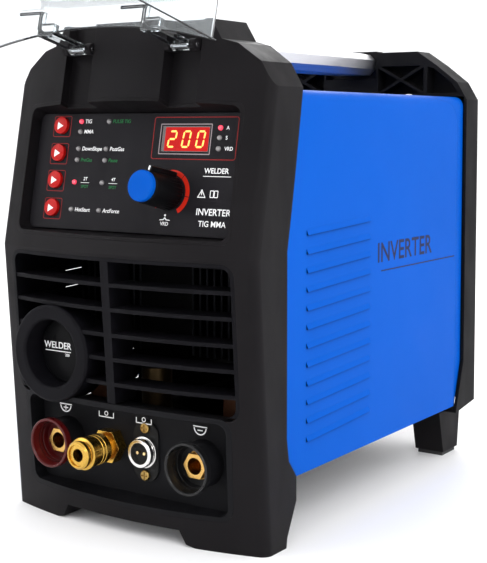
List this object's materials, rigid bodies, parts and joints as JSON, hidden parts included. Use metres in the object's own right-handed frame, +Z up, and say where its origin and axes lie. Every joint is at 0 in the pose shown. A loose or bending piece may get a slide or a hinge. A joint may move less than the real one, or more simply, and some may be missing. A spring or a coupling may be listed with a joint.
{
  "type": "tig welding machine",
  "caption": "Portable inverter welding power source with a bowed black front, blue sheet cover, carrying handle, flip-up clear panel cover, welding sockets, gas coupler and rear fan.",
  "frame": {"origin": "on the floor under the middle of the machine's bounding box, clear cover open", "axes": "+Z up, +Y from the control front to the rear, +X to the right seen from the front"},
  "size_m": [0.2566, 0.5542, 0.4408],
  "materials": {
    "front_bezel": "fine-textured charcoal black moulding",
    "panel_surround": "fine-textured charcoal black moulding",
    "front_grille": "fine-textured charcoal black moulding",
    "socket_tray": "fine-textured charcoal black moulding",
    "badge_disc": "smooth black disc",
    "panel_cover": "clear polycarbonate",
    "cover_hinge_pins": "ground steel pin",
    "control_plate": "printed black front foil",
    "display_window": "red filter window",
    "display_module": "seven-segment display block",
    "led_lenses_lit": "lit red lens",
    "led_lenses_off": "unlit smoke-grey lens",
    "button": "red domed key with a white triangle",
    "knob_body": "ribbed black skirt",
    "knob_cap": "blue cap",
    "encoder_shaft": "turned shaft",
    "control_pcb": "green circuit board with its switches and encoder",
    "cover_shell": "vivid blue powder coat",
    "case_screws": "plated pan-head screws",
    "rear_bezel": "fine-textured charcoal black moulding",
    "rear_panel": "fine-textured charcoal black plate",
    "rear_feet": "moulded leg",
    "rear_foot_pads": "ribbed rubber",
    "handle_bar": "satin anodised extrusion",
    "handle_collars": "black end collar",
    "socket_positive_cup": "dark red insulator",
    "socket_negative_cup": "black insulator",
    "socket_contact": "turned brass",
    "mounting_nuts": "plated hexagon nuts",
    "gas_coupler_body": "turned brass",
    "gas_coupler_sleeve": "turned brass with grip grooves",
    "control_socket_shell": "nickel-plated shell",
    "control_socket_insert": "black contact carrier",
    "control_socket_pins": "gilt pins",
    "control_socket_screws": "dark brass slotted screws",
    "base_tray": "black sheet tray and air baffle",
    "heatsinks": "extruded fins",
    "power_modules": "epoxy module",
    "main_pcb": "green circuit board",
    "capacitors": "sleeved can",
    "transformer_core": "ferrite core",
    "transformer_winding": "varnished copper winding",
    "output_choke": "varnished copper winding on a ring core",
    "solenoid_valve": "brass valve with coil",
    "gas_hoses": "black gas hose",
    "busbars": "copper bar",
    "fan_frame": "black fan frame",
    "fan_rotor": "black fan rotor",
    "fan_guard": "plated wire",
    "mains_switch_body": "black switch case",
    "mains_switch_rocker": "red rocker",
    "cable_gland": "black nylon gland",
    "cable_gland_cap": "black nylon cap",
    "gas_inlet": "turned brass barb",
    "earth_stud": "zinc-plated stud",
    "rating_plate": "blank anodised plate"
  },
  "bodies": {
    "case": {"front_bezel": "front_bezel", "panel_surround": "panel_surround", "front_grille": "front_grille", "socket_tray": "socket_tray", "badge_disc": "badge_disc", "cover_hinge_pins": "cover_hinge_pins", "control_plate": "control_plate", "display_window": "display_window", "display_module": "display_module", "led_lenses_lit": "led_lenses_lit", "led_lenses_off": "led_lenses_off", "control_pcb": "control_pcb", "cover_shell": "cover_shell", "case_screws": "case_screws", "rear_bezel": "rear_bezel", "rear_panel": "rear_panel", "rear_feet": "rear_feet", "rear_foot_pads": "rear_foot_pads", "handle_bar": "handle_bar", "handle_collars": "handle_collars", "socket_positive_cup": "socket_positive_cup", "socket_positive_contact": "socket_contact", "socket_negative_cup": "socket_negative_cup", "socket_negative_contact": "socket_contact", "mounting_nuts": "mounting_nuts", "gas_coupler_body": "gas_coupler_body", "control_socket_shell": "control_socket_shell", "control_socket_insert": "control_socket_insert", "control_socket_pins": "control_socket_pins", "control_socket_screws": "control_socket_screws", "base_tray": "base_tray", "heatsinks": "heatsinks", "power_modules": "power_modules", "main_pcb": "main_pcb", "capacitors": "capacitors", "transformer_core": "transformer_core", "transformer_winding": "transformer_winding", "output_choke": "output_choke", "solenoid_valve": "solenoid_valve", "gas_hoses": "gas_hoses", "busbars": "busbars", "fan_frame": "fan_frame", "fan_guard": "fan_guard", "mains_switch_body": "mains_switch_body", "cable_gland": "cable_gland", "cable_gland_cap": "cable_gland_cap", "gas_inlet": "gas_inlet", "earth_stud": "earth_stud", "rating_plate": "rating_plate"},
    "clear_cover": {"panel_cover": "panel_cover"},
    "knob": {"knob_body": "knob_body", "knob_cap": "knob_cap", "encoder_shaft": "encoder_shaft"},
    "button_tig": {"button_1": "button"},
    "button_mode": {"button_2": "button"},
    "button_trigger": {"button_3": "button"},
    "button_arc": {"button_4": "button"},
    "coupler_sleeve": {"gas_coupler_sleeve": "gas_coupler_sleeve"},
    "switch_rocker": {"mains_switch_rocker": "mains_switch_rocker"},
    "fan": {"fan_rotor": "fan_rotor"}
  },
  "joints": [
    {"name": "cover_hinge", "type": "hinge", "parent": "case", "child": "clear_cover", "pos_m": [0, -0.12617, 0.385], "axis": [1, 0, 0], "range_deg": [0, 92]},
    {"name": "knob_turn", "type": "hinge", "parent": "case", "child": "knob", "pos_m": [0.042, -0.12813, 0.272], "axis": [0, -0.9816, 0.1908], "continuous": true},
    {"name": "button_tig_press", "type": "slide", "parent": "case", "child": "button_tig", "axis": [0, 0.9816, -0.1908], "range_m": [0, 0.001], "stiffness_N_per_m": 800, "springref_m": -0.0006},
    {"name": "button_mode_press", "type": "slide", "parent": "case", "child": "button_mode", "axis": [0, 0.9816, -0.1908], "range_m": [0, 0.001], "stiffness_N_per_m": 800, "springref_m": -0.0006},
    {"name": "button_trigger_press", "type": "slide", "parent": "case", "child": "button_trigger", "axis": [0, 0.9816, -0.1908], "range_m": [0, 0.001], "stiffness_N_per_m": 800, "springref_m": -0.0006},
    {"name": "button_arc_press", "type": "slide", "parent": "case", "child": "button_arc", "axis": [0, 0.9816, -0.1908], "range_m": [0, 0.001], "stiffness_N_per_m": 800, "springref_m": -0.0006},
    {"name": "coupler_sleeve_slide", "type": "slide", "parent": "case", "child": "coupler_sleeve", "axis": [0, 1, 0], "range_m": [0, 0.0045], "stiffness_N_per_m": 500, "springref_m": -0.002},
    {"name": "mains_switch_rock", "type": "hinge", "parent": "case", "child": "switch_rocker", "pos_m": [0.062, 0.25413, 0.285], "axis": [1, 0, 0], "range_deg": [-20, 0]},
    {"name": "fan_spin", "type": "hinge", "parent": "case", "child": "fan", "pos_m": [0, 0.24073, 0.13], "axis": [0, 1, 0], "continuous": true}
  ]
}
